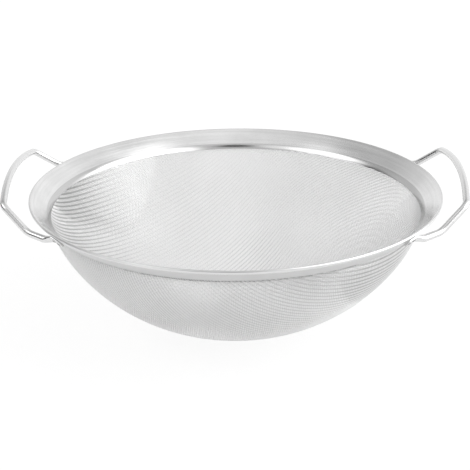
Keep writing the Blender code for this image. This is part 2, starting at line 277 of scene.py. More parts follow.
@dataclass(frozen=True)
class RimSection:
    """Section through the rim: where the flange, the cloth and the backing ring lie.

    The seam gap is the one that the CAD solids leave between pieces that touch.
    """

    rim_height: float = 102.0 * MM
    rim_radius: float = 150.0 * MM
    seam_gap: float = 0.3 * MM
    flange_thickness: float = 0.5 * MM
    flange_slope: float = math.radians(41)
    flange_reach: float = 12.2 * MM
    band_slope: float = math.radians(51)
    band_width: float = 4.9 * MM
    hem_return: float = 2.2 * MM
    ring_thickness: float = 0.4 * MM
    ring_inset: float = 0.6 * MM
    cloth_thickness: float = 0.6 * MM
    cloth_clamped: float = 3.1 * MM

    def ways(self, slope: float) -> tuple[Vector, Vector]:
        """Gives two directions on a cone.

        Args:
            slope: Slope of the cone against the level.

        Returns:
            The way inwards down the slope, and the way out of the cone's underside.
        """
        down = Vector((-math.cos(slope), 0.0, -math.sin(slope)))
        return down, Vector((-down.z, 0.0, down.x))

    @property
    def hem_middle(self) -> float:
        """Radius of the middle line of the rolled hem."""
        return self.ring_thickness / 2 + self.seam_gap + self.flange_thickness / 2

    @property
    def hem_outer(self) -> float:
        """Outer radius of the rolled hem."""
        return self.hem_middle + self.flange_thickness / 2

    @property
    def hem_centre(self) -> Vector:
        """Centre that the hem is rolled round."""
        return Vector((self.rim_radius - self.hem_outer, 0.0, self.rim_height - self.hem_outer))

    @property
    def corner(self) -> Vector:
        """Point on the upper face where the cone meets the steeper band."""
        down, under = self.ways(self.flange_slope)
        start = self.hem_centre - under * self.hem_outer
        reach = self.flange_reach - (self.rim_radius - start.x)
        return start + down * (reach / math.cos(self.flange_slope))

    @property
    def band_edge(self) -> Vector:
        """Point on the upper face at the band's lower edge, where the cloth comes out."""
        return self.corner + self.ways(self.band_slope)[0] * self.band_width

    @property
    def cloth_clear(self) -> float:
        """Distance of the cloth's middle from the flange's upper face."""
        return self.flange_thickness + self.seam_gap + self.cloth_thickness / 2

    @property
    def ring_line(self) -> tuple[Vector, Vector]:
        """Outer and inner end of the backing ring's middle line."""
        down, under = self.ways(self.flange_slope)
        start = self.hem_centre + down * self.ring_inset
        clear = self.cloth_clear + self.cloth_thickness / 2 + self.seam_gap + self.ring_thickness / 2
        at_cloth_edge = self.corner + under * clear - down * self.cloth_clamped
        ring_down = (at_cloth_edge - start).normalized()
        return start, at_cloth_edge + ring_down * self.cloth_clamped


# Finishes


def linear(hex_colour: str) -> tuple[float, float, float, float]:
    """Turns an sRGB colour such as "#C8C8C8" into linear RGBA, by the curve of the sRGB standard."""
    parts = [int(hex_colour[i : i + 2], 16) / 255 for i in (1, 3, 5)]
    parts = [p / 12.92 if p <= 0.04045 else ((p + 0.055) / 1.055) ** 2.4 for p in parts]
    return parts[0], parts[1], parts[2], 1.0


def add_node(tree: bpy.types.NodeTree, kind: str, inputs: dict | None = None, **settings) -> bpy.types.Node:
    """Adds a shader node with its settings, its values and its links.

    Args:
        tree: Node tree that gets the node.
        kind: Blender's name of the node's type, without "ShaderNode" in front.
        inputs: Values by socket name or index. A socket is linked, and so is a node's first output.
        settings: Settings of the node itself, by name.

    Returns:
        The node.
    """
    node = tree.nodes.new("ShaderNode" + kind)
    for name, value in settings.items():
        setattr(node, name, value)
    for key, value in (inputs or {}).items():
        value = value.outputs[0] if isinstance(value, bpy.types.Node) else value
        if isinstance(value, bpy.types.NodeSocket):
            tree.links.new(value, node.inputs[key])
        else:
            node.inputs[key].default_value = value
    return node


@dataclass(frozen=True)
class Steel:
    """Bare stainless steel, on which each kind of stock lays its own wear, and the cloth's wire its painted
    shade.
    """

    name: str
    colour: str
    dull_colour: str
    roughness: float

    def lay_on(self, tree: bpy.types.NodeTree, shader: bpy.types.Node) -> None:
        """Adds the nodes of the stock's tone and roughness.

        Args:
            tree: The material's node tree.
            shader: Its Principled shader.
        """
        raise NotImplementedError

    def make(self) -> bpy.types.Material:
        """Builds the material.

        Returns:
            The material.
        """
        material = bpy.data.materials.new(self.name)
        material.use_nodes = True
        shader = material.node_tree.nodes["Principled BSDF"]
        shader.inputs["Metallic"].default_value = 1.0
        self.lay_on(material.node_tree, shader)
        return material


@dataclass(frozen=True)
class WornSteel(Steel):
    """Steel with patches of tone and with roughness that varies a little."""

    patch_size: float = 6.0 * MM
    patch_detail: float = 5.0
    patch_mix: float = 0.6
    noise_low: float = 0.3
    noise_high: float = 0.7
    roughness_spread: float = 0.04

    def patches_at(self, place: bpy.types.NodeSocket) -> dict:
        """Gives the inputs of the patches' noise, at the given places."""
        scale = 1 / self.patch_size
        return {"Vector": place, "Scale": scale, "Detail": self.patch_detail, "Roughness": self.patch_mix}

    def spread_over(self, noise: bpy.types.Node) -> dict:
        """Gives the inputs that turn a noise into roughness, from below the usual one to above."""
        low, high = self.roughness - self.roughness_spread, self.roughness + self.roughness_spread
        seen = {"Value": noise, "From Min": self.noise_low, "From Max": self.noise_high}
        return seen | {"To Min": low, "To Max": high}


@dataclass(frozen=True)
class TurnedSteel(WornSteel):
    """Stainless sheet, polished on a lathe: a mirror softened by fine rings round the axis.

    The real rings are about 0.05 mm apart, under a tenth of a pixel, so they are drawn thirty
    times coarser, as faint streaks of tone and roughness. Slow patches of tone are what washing
    and stacking leave. A band inside a given radius can be painted darker, as painted shade on
    the steep band that sits over the cloth. Beyond the hem radius the rollers that closed the hem
    left it matt.
    """

    ring_spacing: float = 1.5 * MM
    ring_length: float = 90.0 * MM
    ring_depth: float = 0.006 * MM
    ring_detail: float = 3.0
    ring_mix: float = 0.6
    sheet_radius: float = RimSection.rim_radius
    patch_size: float = 35.0 * MM
    patch_detail: float = 4.0
    patch_mix: float = 0.55
    wear_low: float = 0.12
    wear_high: float = 0.38
    noise_low: float = 0.25
    noise_high: float = 0.75
    roughness_spread: float = 0.05
    band_shade_colour: str = ""
    band_radius: float = 137.7 * MM
    hem_radius: float = 148.3 * MM
    hem_blend: float = 0.5 * MM
    hem_roughness: float = 0.32

    def lay_on(self, tree: bpy.types.NodeTree, shader: bpy.types.Node) -> None:
        """Adds the nodes of the stock's tone and roughness."""
        place = add_node(tree, "TexCoord").outputs["Object"]
        parts = add_node(tree, "SeparateXYZ", {0: place})
        flat = add_node(tree, "CombineXYZ", {0: parts.outputs[0], 1: parts.outputs[1]})
        radius = add_node(tree, "VectorMath", {0: flat}, operation="LENGTH")
        round_way = add_node(tree, "VectorMath", {0: flat}, operation="NORMALIZE")
        lengths = self.sheet_radius / self.ring_length
        stretch = {0: round_way, 1: (lengths, lengths, 0.0)}
        stretched = add_node(tree, "VectorMath", stretch, operation="MULTIPLY")
        spacing = {0: radius.outputs["Value"], 1: 1 / self.ring_spacing}
        across = add_node(tree, "Math", spacing, operation="MULTIPLY")
        rings_at = add_node(tree, "SeparateXYZ", {0: stretched})
        ring_parts = {0: rings_at.outputs[0], 1: rings_at.outputs[1], 2: across}
        noise = {"Vector": add_node(tree, "CombineXYZ", ring_parts), "Scale": 1.0}
        noise |= {"Detail": self.ring_detail, "Roughness": self.ring_mix}
        rings = add_node(tree, "TexNoise", noise)
        patches = add_node(tree, "TexNoise", self.patches_at(place))
        streaks = {0: patches, 1: rings}
        wear = add_node(tree, "Math", streaks, operation="MULTIPLY")
        shown = {"Value": wear, "From Min": self.wear_low, "From Max": self.wear_high}
        shares = add_node(tree, "MapRange", shown)
        tones = {"Factor": shares, 6: linear(self.dull_colour), 7: linear(self.colour)}
        tone = add_node(tree, "Mix", tones, data_type="RGBA")
        dulled = add_node(tree, "MapRange", self.spread_over(rings))
        inner, outer = self.hem_radius - self.hem_blend, self.hem_radius + self.hem_blend
        hem_edge = {"Value": radius.outputs["Value"], "From Min": inner, "From Max": outer}
        on_hem = add_node(tree, "MapRange", hem_edge)
        polish = {0: on_hem, 2: dulled, 3: self.hem_roughness}
        roughness = add_node(tree, "Mix", polish, data_type="FLOAT")
        turned = {"Height": rings, "Distance": self.ring_depth, "Strength": 1.0}
        grain = add_node(tree, "Bump", turned)
        colour = tone.outputs[2]
        # Painted shade: the steep band inside the given radius gets a darker colour.
        if self.band_shade_colour:
            inside = {0: radius.outputs["Value"], 1: self.band_radius}
            on_shaded_band = add_node(tree, "Math", inside, operation="LESS_THAN")
            tones = {"Factor": on_shaded_band, 6: colour, 7: linear(self.band_shade_colour)}
            colour = add_node(tree, "Mix", tones, data_type="RGBA").outputs[2]
        tree.links.new(colour, shader.inputs["Base Color"])
        tree.links.new(roughness.outputs[0], shader.inputs["Roughness"])
        tree.links.new(grain.outputs[0], shader.inputs["Normal"])


@dataclass(frozen=True)
class DrawnWire(WornSteel):
    """Stainless wire, drawn through a die and tumbled bright: soft glints, faint blotches of tone."""

    def lay_on(self, tree: bpy.types.NodeTree, shader: bpy.types.Node) -> None:
        """Adds the nodes of the stock's tone and roughness."""
        place = add_node(tree, "TexCoord").outputs["Object"]
        patches = add_node(tree, "TexNoise", self.patches_at(place))
        tones = {"Factor": patches, 6: linear(self.dull_colour), 7: linear(self.colour)}
        tone = add_node(tree, "Mix", tones, data_type="RGBA")
        dulled = add_node(tree, "MapRange", self.spread_over(patches))
        tree.links.new(tone.outputs[2], shader.inputs["Base Color"])
        tree.links.new(dulled.outputs[0], shader.inputs["Roughness"])


@dataclass(frozen=True)
class ClothWire(Steel):
    """Fine stainless wire, drawn and then woven, which rubs it matt.

    A float attribute on the points says how much painted shade darkens the wire there.
    """

    def lay_on(self, tree: bpy.types.NodeTree, shader: bpy.types.Node) -> None:
        """Adds the nodes of the stock's tone and roughness."""
        # Painted shade: the attribute mixes the wire's colour towards the darker colour.
        dull = add_node(tree, "Attribute", attribute_name=PAINTED_SHADE)
        tones = {"Factor": dull.outputs["Fac"], 6: linear(self.colour), 7: linear(self.dull_colour)}
        tone = add_node(tree, "Mix", tones, data_type="RGBA")
        tree.links.new(tone.outputs[2], shader.inputs["Base Color"])
        shader.inputs["Roughness"].default_value = self.roughness


class Finish(Enum):
    """The finishes on the strainer, one for each kind of stock that it is made of."""

    # The flange's darker band colour is painted shade.
    FLANGE_SHEET = TurnedSteel("polished_stainless_sheet", "#ECECEC", "#DCDCDC", 0.17, band_shade_colour="#CCCCCC")
    RING_SHEET = TurnedSteel("satin_stainless_sheet", "#D4D4D4", "#CACACA", 0.32)
    HANDLE_WIRE = DrawnWire("polished_stainless_wire", "#E8E8E8", "#DEDEDE", 0.26)
    WELD_SPOT = DrawnWire("heat_tinted_weld_spot", "#9A9A9A", "#6A6A6A", 0.45)
    # The cloth wire's dark colour is painted shade.
    CLOTH_WIRE = ClothWire("drawn_stainless_cloth_wire", "#F2F2F2", "#484848", 0.43)

    def dress(self, piece: Piece) -> None:
        """Gives a piece this finish, made once and shared."""
        material = bpy.data.materials.get(self.value.name) or self.value.make()
        piece.data.materials.clear()
        piece.data.materials.append(material)


# Sub-assemblies


def hand_over(piece: Piece, node: str, finish: Finish) -> None:
    """Dresses a piece, sets it on the strainer and lets it stand for its CAD node.

    Args:
        piece: The finished piece.
        node: CAD node that it replaces.
        finish: Finish of the piece.
    """
    finish.dress(piece)
    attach(piece, "root")
    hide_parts(node)
    piece.select_set(False)
    faces = sum(len(p.vertices) - 2 for p in piece.data.polygons)
    log.info("%s: %d points, %d triangles", piece.name, len(piece.data.vertices), faces)


@dataclass
class RimFlange:
    """The polished cone round the mouth, with its rolled hem and its band over the cloth."""

    section: RimSection
    turn_steps: int = 256
    band_bow: float = 0.21 * MM
    band_steps: int = 8
    crown: float = 0.12 * MM
    crown_steps: int = 8
    hem_steps: int = 14

    def bowed(self, start: Vector, end: Vector, bow: Vector, steps: int) -> list[Vector]:
        """Draws a slightly bowed line.

        Args:
            start: The line's start.
            end: The line's end.
            bow: How far and which way the line's middle is off the straight line.
            steps: Number of steps along the line.

        Returns:
            The line's points, with its start and without its end.
        """
        shares = [step / steps for step in range(steps)]
        return [start.lerp(end, share) + bow * (1 - (2 * share - 1) ** 2) for share in shares]

    def middle_line(self) -> list[Vector]:
        """Draws the middle of the sheet from the band's edge over the cone and round the hem.

        Returns:
            Points in the XZ plane.
        """
        size = self.section
        down, under = size.ways(size.flange_slope)
        half = size.flange_thickness / 2
        band_under = size.ways(size.band_slope)[1]
        mitre = (under + band_under).normalized()
        corner = size.corner + mitre * (half / mitre.dot(under))
        edge = size.band_edge + band_under * half
        hem_start = size.hem_centre - under * size.hem_middle
        # The band is rolled over from the cone, and the pressed cone is slightly crowned.
        band = self.bowed(edge, corner, -band_under * self.band_bow, self.band_steps)
        cone = self.bowed(corner, hem_start, -under * self.crown, self.crown_steps)
        hem = []
        for step in range(self.hem_steps + 1):
            turn = math.pi * step / self.hem_steps
            way = under * math.cos(turn) + down * math.sin(turn)
            hem.append(size.hem_centre - way * size.hem_middle)
        return band + cone + hem + [hem[-1] + down * size.hem_return]

    def build(self) -> None:
        """Builds the flange and sets it in place."""
        size = self.section
        piece = spun_sheet("rim_flange_sheet", self.middle_line(), size.flange_thickness, self.turn_steps)
        hand_over(piece, "rim_flange", Finish.FLANGE_SHEET)


@dataclass
class BackingRing:
    """The thinner sheet under the flange, whose outer edge is held in the hem."""

    section: RimSection
    turn_steps: int = 256
    line_steps: int = 6

    def build(self) -> None:
        """Builds the ring and sets it in place."""
        start, end = self.section.ring_line
        line = [start.lerp(end, step / self.line_steps) for step in range(self.line_steps + 1)]
        piece = spun_sheet("backing_ring_sheet", line, self.section.ring_thickness, self.turn_steps)
        hand_over(piece, "backing_ring", Finish.RING_SHEET)


class ClothWires(Enum):
    """The two sets of wires in the cloth, and the turn of each against the first."""

    WARP = 0
    WEFT = 1


@dataclass(frozen=True)
class ShadePatch:
    """A patch of painted shade on the cloth's wires, as stripes on every third warp wire and evenly on all
    of them.

    The place, on the flat disc, and the radii are in millimetres. The darkening is full inside
    the inner radius and fades out at the outer one. The stripes' darkening is that of every
    third warp wire.
    """

    x: float
    y: float
    inner: float
    outer: float
    stripes: float
    evenly: float = 0.0

    def at(self, flat_x: np.ndarray, flat_y: np.ndarray, striped: np.ndarray) -> np.ndarray:
        """Works out how dark the patch makes the wires.

        Args:
            flat_x: Places along X on the flat disc.
            flat_y: Places along Y on the flat disc.
            striped: True on every third warp wire and where weft crosses it.

        Returns:
            The darkening at each place.
        """
        away = np.hypot(flat_x - self.x * MM, flat_y - self.y * MM)
        inner, outer = self.inner * MM, self.outer * MM
        share = np.clip((outer - away) / (outer - inner), 0.0, 1.0)
        return (self.evenly + self.stripes * striped) * eased(share)


@dataclass
class WovenBowl:
    """Plain-woven wire cloth, woven flat, cut to a disc and pressed into the bowl.

    The cloth is taken to be 23 mesh: 0.28 mm wire at a pitch of 1.09 mm. The wire is drawn
    0.40 mm thick, so that it shows, and with four sides, smoothed to a round. Pressing
    keeps lengths down the bowl's wall and draws the cloth together round it. Every third warp
    wire stands proud as a rib. Stripes of painted shade darken every third warp wire in places,
    and soft patches of painted shade darken the wires. In the crevice under the ring's edge every
    second wire is painted dark, as painted shadow.
    """

    section: RimSection
    pitch: float = 1.093 * MM
    wire_radius: float = 0.20 * MM
    wire_sides: int = 4
    wave_merge: float = 0.02 * MM
    wires_per_stripe: int = 3
    warp_turn: float = math.radians(50.3)
    base_flat_radius: float = 12.0 * MM
    side_fullness: float = 2.04
    base_fullness: float = 1.46
    stretch: tuple[float, float, float] = (0.03, -0.021, 0.074)
    stretch_unit: float = 100.0 * MM
    # Patches of painted shade on the flat disc.
    shade_patches: tuple[ShadePatch, ...] = (
        ShadePatch(-168, 34, 10, 118, 0.58),
        ShadePatch(-20, 108, 30, 85, 0.14, 0.03),
        ShadePatch(18, 68, 8, 45, 0.22),
        ShadePatch(40, -150, 40, 85, 0.20, 0.04),
        ShadePatch(125, -105, 20, 60, 0.40),
        ShadePatch(-85, -130, 30, 75, 0.24),
        ShadePatch(100, 95, 50, 110, 0, 0.17),
        ShadePatch(-85, 100, 30, 90, 0, 0.15),
        ShadePatch(10, -10, 30, 95, 0, 0.13),
    )
    smooth_angle: float = math.radians(100)
    rib_depth: float = 0.07 * MM
    rib_fade: float = 3.0 * MM
    crevice_width: float = 4.8 * MM
    crevice_shadow: float = 0.50
    wall_points: int = 400
    bands: int = 5
    band_evenness: float = 0.62
    line_radius: np.ndarray = field(init=False)
    line_height: np.ndarray = field(init=False)
    line_travel: np.ndarray = field(init=False)

    def __post_init__(self) -> None:
        """Lays out the bowl's line, from its middle up the wall to the cloth's hidden edge."""
        size = self.section
        down, under = size.ways(size.flange_slope)
        band_under = size.ways(size.band_slope)[1]
        wall_top = size.band_edge + band_under * size.cloth_clear
        bend = size.corner + (band_under + under).normalized() * size.cloth_clear
        edge = size.corner + under * size.cloth_clear - down * size.cloth_clamped
        lowest = 2 * self.wire_radius
        depth = wall_top.z - lowest
        share = np.sin(np.linspace(0.0, math.pi / 2, self.wall_points))
        height = depth * (1 - (1 - share**self.side_fullness) ** (1 / self.base_fullness))
        radius = self.base_flat_radius + (wall_top.x - self.base_flat_radius) * share
        self.line_radius = np.concatenate([[0.0], radius, [bend.x, edge.x]])
        self.line_height = np.concatenate([[lowest], lowest + height, [bend.z, edge.z]])
        steps = np.hypot(np.diff(self.line_radius), np.diff(self.line_height))
        self.line_travel = np.concatenate([[0.0], np.cumsum(steps)])

    @property
    def cut_radius(self) -> float:
        """Radius of the flat disc that the bowl is pressed from."""
        return float(self.line_travel[-1])

    def profile(self, travel: np.ndarray) -> tuple[np.ndarray, np.ndarray]:
        """Radius and height of the bowl's line at distances along it."""
        radius = np.interp(travel, self.line_travel, self.line_radius)
        return radius, np.interp(travel, self.line_travel, self.line_height)

    def stretched(self, along: np.ndarray, across: np.ndarray) -> tuple[np.ndarray, np.ndarray]:
        """Shifts places on the cloth as pressing pulls it out of its square weave.

        Wires that run up the wall are drawn together, and those that run round it are spread.

        Args:
            along: Places along the wires.
            across: Places across the wires.

        Returns:
            The shifted places, along and across.
        """
        whole, own, other = self.stretch
        along_square, across_square = (along / self.stretch_unit) ** 2, (across / self.stretch_unit) ** 2
        along_share = 1 + whole + own * along_square + other * across_square
        across_share = 1 + whole + own * across_square + other * along_square
        return along / along_share, across / across_share

    def crimped_wire(self, name: str, shifted: bool) -> Piece:
        """Models one straight wire with a wave at every crossing, as long as the disc is wide.

        Args:
            name: Name of the piece.
            shifted: Whether the wire goes under where it would go over.

        Returns:
            The wire, along X and centred on the origin.
        """
        nothing_selected()
        bpy.ops.mesh.primitive_cylinder_add(
            vertices=self.wire_sides,
            radius=self.wire_radius,
            depth=2 * self.pitch,
            end_fill_type="NOTHING",
            rotation=(0.0, math.pi / 2, 0.0),
        )
        wire = named(name)
        place_in_mesh(wire)
        edit_mode("DESELECT", "EDGE")
        object_mode()
        points = places(wire)
        for edge in wire.data.edges:
            first, second = edge.vertices
            edge.select = bool(abs(points[first, 0] - points[second, 0]) > self.pitch)
        bpy.ops.object.mode_set(mode="EDIT")
        bpy.ops.mesh.subdivide(number_cuts=1)
        object_mode()
        points = places(wire)
        # Over the crossing wire in the middle of the wave, and under it at both ends.
        over = np.abs(points[:, 0]) < self.pitch / 2
        points[:, 2] += np.where(over, self.wire_radius, -self.wire_radius)
        waves = math.ceil(self.cut_radius / self.pitch / 2) + 1
        points[:, 0] -= 2 * self.pitch * waves - (self.pitch if shifted else 0.0)
        put(wire, points)
        repeated(wire, 2 * waves + 1, (2 * self.pitch, 0.0, 0.0), self.wave_merge)
        return wire

    def flat_band(self, name: str, first: int, last: int, wires: ClothWires) -> Piece:
        """Lays wires side by side, each one wave step off from the one before, and cuts them.

        Args:
            name: Name of the piece.
            first: Number of the first wire, counted from the middle of the disc.
            last: Number of the wire after the last one.
            wires: Which set of the cloth's wires this is.

        Returns:
            The band of flat cloth, cut to the disc, with closed wire ends.
        """
        rows = []
        for start in (first, first + 1):
            shifted = (start + wires.value) % 2 == 1
            row = self.crimped_wire(f"{name}_{start - first}", shifted)
            put(row, places(row) + np.array([0.0, start * self.pitch, 0.0]))
            repeated(row, math.ceil((last - start) / 2), (0.0, 2 * self.pitch, 0.0))
            rows.append(row)
        take_up(rows[0])
        rows[1].select_set(True)
        bpy.ops.object.join()
        band = named(name)
        points = places(band)
        # A wire is cut between waves, so each ring of its points stays or goes as one.
        crossings = np.round(points[:, :2] / self.pitch) * self.pitch
        along, across = self.stretched(crossings[:, 0], crossings[:, 1])
        outside = np.hypot(along, across) > self.cut_radius
        edit_mode("DESELECT")
        object_mode()
        band.data.vertices.foreach_set("select", outside)
        bpy.ops.object.mode_set(mode="EDIT")
        bpy.ops.mesh.delete(type="VERT")
        bpy.ops.mesh.select_all(action="SELECT")
        bpy.ops.mesh.fill_holes(sides=self.wire_sides)
        object_mode()
        return band

    def press(self, band: Piece, wires: ClothWires) -> None:
        """Presses a flat band of cloth into the bowl.

        Args:
            band: Flat cloth with its middle at the origin and its wires along X.
            wires: Which set of the cloth's wires it holds.
        """
        points = places(band)
        along, across = self.stretched(points[:, 0], points[:, 1])
        turn = self.warp_turn + wires.value * math.pi / 2
        flat_x = along * math.cos(turn) - across * math.sin(turn)
        flat_y = along * math.sin(turn) + across * math.cos(turn)
        # Warp wires are numbered across the warp, and so are the places where weft crosses them.
        warp_place = points[:, 1] if wires is ClothWires.WARP else points[:, 0]
        striped = np.round(warp_place / self.pitch) % self.wires_per_stripe == 0
        # Painted shade: stripes on every third warp wire and soft patches darken the wires.
        painted_darkening = sum(patch.at(flat_x, flat_y, striped) for patch in self.shade_patches)
        travel = np.hypot(flat_x, flat_y)
        # Painted shadow: every second wire is darkened in the crevice under the ring's edge.
        ring_travel = np.interp(self.section.ring_line[1].x, self.line_radius, self.line_travel)
        in_crevice_shadow = (travel > ring_travel - self.crevice_width) & (travel < ring_travel)
        in_crevice_shadow &= np.round(points[:, 1] / self.pitch) % 2 == 0
        dull = band.data.attributes.new(PAINTED_SHADE, "FLOAT", "POINT")
        dull.data.foreach_set("value", np.maximum(painted_darkening, self.crevice_shadow * in_crevice_shadow))
        safe = np.maximum(travel, MERGE_DISTANCE)
        radius, height = self.profile(travel)
        # Tangent of the bowl's line, over a stretch long enough to pass its drawn points.
        reach = self.pitch / 2
        run, rise = np.subtract(self.profile(travel + reach), self.profile(travel - reach))
        length = np.maximum(np.hypot(rise, run), MERGE_DISTANCE)
        lean, stand = -rise / length, run / length
        rib = np.cos(2 * math.pi / self.wires_per_stripe * warp_place / self.pitch)
        room = np.clip((self.cut_radius - self.rib_fade - travel) / self.rib_fade, 0.0, 1.0)
        room *= np.clip((travel - self.base_flat_radius) / self.rib_fade, 0.0, 1.0)
        lift = points[:, 2] + self.rib_depth * rib * room
        out = radius + lift * lean
        pressed = np.stack([out * flat_x / safe, out * flat_y / safe, height + lift * stand], axis=1)
        put(band, pressed)

    def build(self) -> None:
        """Weaves, cuts and presses the cloth, in bands of wires, and sets it in place."""
        half = int(self.cut_radius / self.pitch)
        # Narrower bands in the middle, where the wires are longest, make the bands alike in size.
        widest = math.pi / 2 * self.band_evenness
        turns = [widest * (2 * index / self.bands - 1) for index in range(self.bands + 1)]
        edges = [round(half * math.sin(turn) / math.sin(widest)) for turn in turns]
        edges[-1] += 1
        for wires in ClothWires:
            for index in range(self.bands):
                name = f"cloth_{wires.name.lower()}_{index + 1}"
                band = self.flat_band(name, edges[index], edges[index + 1], wires)
                self.press(band, wires)
                close_and_smooth(band, self.smooth_angle)
                hand_over(band, "mesh_bowl", Finish.CLOTH_WIRE)


@dataclass
class WireHandle:
    """A bent wire handle with two legs, whose ends are flattened and welded under the ring."""

    section: RimSection
    wire_radius: float = 2.5 * MM
    tab_width: float = 8.0 * MM
    tab_thickness: float = 2.0 * MM
    tab_length: float = 7.5 * MM
    tab_margin_to_hem: float = 2.0 * MM
    tab_azimuth: float = math.radians(37)
    tab_outline_power: float = 0.5
    flattening_length: float = 6.5 * MM
    hem_clearance: float = 1.2 * MM
    grip_length: float = 120.2 * MM
    grip_beyond_rim: float = 8.2 * MM
    grip_above_rim: float = 9.4 * MM
    grip_bow_outwards: float = 7.9 * MM
    grip_bow_upwards: float = 11.8 * MM
    grip_bow_share: float = 0.999
    leg_spread: float = 11.1 * MM
    low_bend_inside_rim: float = 9.8 * MM
    low_bend_drop: float = 6.0 * MM
    hem_bend_radius: float = 6.0 * MM
    low_bend_radius: float = 14.0 * MM
    top_corner_radius: float = 9.0 * MM
    sides: int = 24
    least_step: float = 0.4 * MM
    longest_step: float = 2.0 * MM
    hem_bend_steps: int = 6
    bend_steps: int = 14
    bow_steps: int = 48
    end_bevel: float = 0.35 * MM
    end_bevel_faces: int = 2
    weld_places: tuple[float, ...] = (1.6 * MM, 5.9 * MM)
    weld_radius: float = 1.3 * MM
    weld_height: float = 0.35 * MM
    weld_sides: int = 24
    weld_edge_faces: int = 3

    def tab(self, side_y: int) -> tuple[Vector, Vector, Vector]:
        """Places one tab.

        Args:
            side_y: 1 for the rear leg, -1 for the front one.

        Returns:
            The middle of the tab's end, the ring's outward normal there, and the way along it.
        """
        start, end = self.section.ring_line
        down = (end - start).normalized()
        under = Vector((-down.z, 0.0, down.x))
        size = self.section
        reach = size.hem_return - size.ring_inset + self.tab_margin_to_hem + self.tab_width / 2
        seat = start + down * reach
        seat = seat + under * (size.ring_thickness / 2 + size.seam_gap + self.tab_thickness / 2)
        turn = Matrix.Rotation(side_y * self.tab_azimuth, 3, "Z")
        point, normal = turn @ seat, turn @ under
        along = self.low_bend(side_y) - point
        return point, normal, (along - normal * along.dot(normal)).normalized()

    def top_corner(self, side_y: int) -> Vector:
        """Corner between a leg and the grip."""
        outwards = self.section.rim_radius + self.grip_beyond_rim
        height = self.section.rim_height + self.grip_above_rim
        return Vector((outwards, side_y * self.grip_length / 2, height))

    def low_bend(self, side_y: int) -> Vector:
        """Bend between the part of a leg that rises and the part that runs in under the rim."""
        outwards = self.section.rim_radius - self.low_bend_inside_rim
        sideways = self.grip_length / 2 + self.leg_spread
        return Vector((outwards, side_y * sideways, self.section.rim_height - self.low_bend_drop))

    def leg(self, side_y: int) -> tuple[list[Vector], Vector]:
        """Corners of one leg, from its tab's end to the top corner, and the tab's normal."""
        point, normal, along = self.tab(side_y)
        root = point + along * self.tab_length
        size = self.section
        step_out = size.hem_outer + self.hem_clearance + self.wire_radius
        step_out -= size.ring_thickness / 2 + self.tab_thickness / 2
        hem_pass = root + along * self.flattening_length + normal * step_out
        return [point, root, hem_pass, self.low_bend(side_y), self.top_corner(side_y)], normal

    def path(self) -> tuple[list[Vector], Vector, Vector]:
        """Draws the wire's middle line from the front tab to the rear one.

        Returns:
            The points of the line, and the normals of the first and the last tab.
        """
        front, front_normal = self.leg(-1)
        rear, rear_normal = self.leg(1)
        top = self.top_corner(1)
        peak = Vector((top.x + self.grip_bow_outwards, 0.0, top.z + self.grip_bow_upwards))
        corners = front + [peak] + rear[::-1]
        peak_turn = (corners[5] - corners[4]).angle(corners[6] - corners[5])
        grip_line = (corners[5] - corners[4]).length
        corner_turn = (corners[4] - corners[3]).angle(corners[5] - corners[4])
        bow = self.grip_bow_share * (grip_line - self.top_corner_radius * math.tan(corner_turn / 2))
        bends = [self.hem_bend_radius, self.hem_bend_radius, self.low_bend_radius, self.top_corner_radius]
        radii = bends + [bow / math.tan(peak_turn / 2)] + bends[::-1]
        steps = 2 * [self.hem_bend_steps] + 2 * [self.bend_steps]
        line = rounded(corners, radii, steps + [self.bow_steps] + steps[::-1])
        spaced = [line[0]]
        for point in line[1:]:
            gap = (point - spaced[-1]).length
            if gap <= self.least_step:
                continue
            # Long straight runs get stations too, so that the flattening has points to follow.
            for step in range(1, math.ceil(gap / self.longest_step)):
                spaced.append(spaced[-1] + (point - spaced[-1]).normalized() * self.longest_step)
            spaced.append(point)
        return spaced, front_normal, rear_normal

    def half_sizes(self, travel: float, total: float) -> tuple[float, float, float]:
        """Half width, half thickness and outline power of the wire at a distance along it."""
        from_end = min(travel, total - travel)
        share = min(1.0, max(0.0, (from_end - self.tab_length) / self.flattening_length))
        round_share = eased(share)
        width = self.tab_width / 2 + (self.wire_radius - self.tab_width / 2) * round_share
        thickness = self.tab_thickness / 2 + (self.wire_radius - self.tab_thickness / 2) * round_share
        return width, thickness, self.tab_outline_power + (1 - self.tab_outline_power) * round_share

    def stations(self) -> list[np.ndarray]:
        """Places of the wire's outline at each point of its path.

        Returns:
            One array of points for each station.
        """
        path, normal, last_normal = self.path()
        travels = [0.0]
        for before, after in zip(path, path[1:]):
            travels.append(travels[-1] + (after - before).length)
        ways = []
        for index, point in enumerate(path):
            ahead = path[min(index + 1, len(path) - 1)] - point
            back = point - path[max(index - 1, 0)]
            ways.append((ahead.normalized() + back.normalized()).normalized())
        frames = [normal - ways[0] * normal.dot(ways[0])]
        for before, after in zip(ways, ways[1:]):
            frames.append(before.rotation_difference(after) @ frames[-1])
        # The carried frame is turned back evenly, so that the last tab lies flat on the ring too.
        goal = last_normal - ways[-1] * last_normal.dot(ways[-1])
        miss = math.atan2(goal.dot(ways[-1].cross(frames[-1])), goal.dot(frames[-1]))
        rings = []
        for point, way, up, travel in zip(path, ways, frames, travels):
            up = Matrix.Rotation(miss * travel / travels[-1], 3, way) @ up.normalized()
            across = way.cross(up)
            width, thickness, power = self.half_sizes(travel, travels[-1])
            ring = []
            for side in range(self.sides):
                angle = 2 * math.pi * (side + 0.5) / self.sides
                x, y = math.cos(angle), math.sin(angle)
                x, y = math.copysign(abs(x) ** power, x), math.copysign(abs(y) ** power, y)
                ring.append(point + across * (x * width) + up * (y * thickness))
            rings.append(np.array(ring))
        return rings

